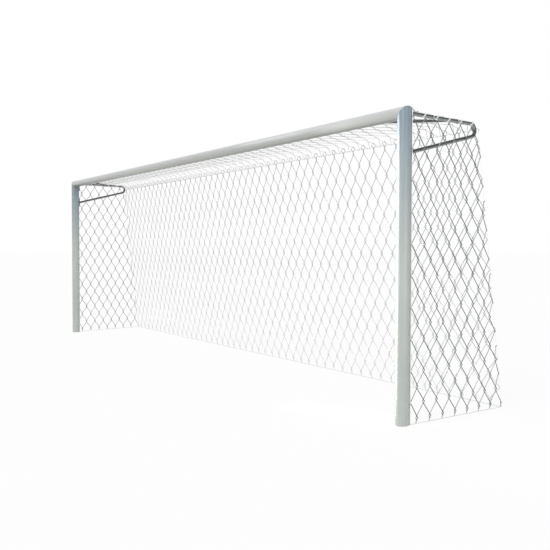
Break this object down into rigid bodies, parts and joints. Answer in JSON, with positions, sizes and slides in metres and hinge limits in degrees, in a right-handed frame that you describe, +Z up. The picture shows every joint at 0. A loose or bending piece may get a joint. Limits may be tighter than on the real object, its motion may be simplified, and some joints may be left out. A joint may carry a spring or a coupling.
{
  "type": "soccer goal",
  "caption": "Full-size in-ground soccer goal: oval aluminium posts and crossbar in ground sockets, bent-tube net brackets with braces, and a woven wire net with roof, sides and back.",
  "frame": {"origin": "middle of the goal line at ground level, midway between the posts and on the middle of their depth", "axes": "+X to the right as seen from the field, along the crossbar; +Y back into the net; +Z up"},
  "size_m": [7.605, 1.274, 2.9505],
  "materials": {
    "aluminium_profile": "satin, drawn lengthwise, faint ribs",
    "aluminium_casting": "as cast",
    "dark_steel_tube": "dark grey semi-gloss coat",
    "zinc_plated_steel": "zinc plated",
    "galvanised_steel": "hot-dip galvanised",
    "galvanised_net_wire": "bright galvanised wire",
    "foot_plug_plastic": "matte"
  },
  "bodies": {
    "ground_sockets": {"left_ground_socket": "galvanised_steel", "right_ground_socket": "galvanised_steel"},
    "goal": {"left_post": "aluminium_profile", "right_post": "aluminium_profile", "crossbar": "aluminium_profile", "left_corner_connector": "aluminium_casting", "right_corner_connector": "aluminium_casting", "left_connector_screw_1": "zinc_plated_steel", "left_connector_screw_2": "zinc_plated_steel", "left_connector_screw_3": "zinc_plated_steel", "left_connector_screw_4": "zinc_plated_steel", "right_connector_screw_1": "zinc_plated_steel", "right_connector_screw_2": "zinc_plated_steel", "right_connector_screw_3": "zinc_plated_steel", "right_connector_screw_4": "zinc_plated_steel", "left_foot_plug": "foot_plug_plastic", "right_foot_plug": "foot_plug_plastic", "left_net_bracket": "dark_steel_tube", "right_net_bracket": "dark_steel_tube", "left_brace": "dark_steel_tube", "right_brace": "dark_steel_tube", "left_top_plate": "dark_steel_tube", "left_lower_plate": "dark_steel_tube", "left_brace_plate": "dark_steel_tube", "right_top_plate": "dark_steel_tube", "right_lower_plate": "dark_steel_tube", "right_brace_plate": "dark_steel_tube", "left_top_slot_nut": "zinc_plated_steel", "left_lower_slot_nut": "zinc_plated_steel", "left_brace_slot_nut": "zinc_plated_steel", "right_top_slot_nut": "zinc_plated_steel", "right_lower_slot_nut": "zinc_plated_steel", "right_brace_slot_nut": "zinc_plated_steel", "left_top_bolt_1": "zinc_plated_steel", "left_top_bolt_2": "zinc_plated_steel", "left_lower_bolt_1": "zinc_plated_steel", "left_lower_bolt_2": "zinc_plated_steel", "left_brace_bolt_1": "zinc_plated_steel", "left_brace_bolt_2": "zinc_plated_steel", "right_top_bolt_1": "zinc_plated_steel", "right_top_bolt_2": "zinc_plated_steel", "right_lower_bolt_1": "zinc_plated_steel", "right_lower_bolt_2": "zinc_plated_steel", "right_brace_bolt_1": "zinc_plated_steel", "right_brace_bolt_2": "zinc_plated_steel", "left_net_rod": "galvanised_steel", "right_net_rod": "galvanised_steel", "crossbar_net_rod": "galvanised_steel", "rear_top_wire": "galvanised_steel", "ground_wire": "galvanised_steel", "roof_net": "galvanised_net_wire", "back_net": "galvanised_net_wire", "left_side_net": "galvanised_net_wire", "right_side_net": "galvanised_net_wire"}
  },
  "joints": [
    {"name": "lift_out", "type": "slide", "parent": "ground_sockets", "child": "goal", "axis": [0, 0, 1], "range_m": [0, 0.45]}
  ]
}
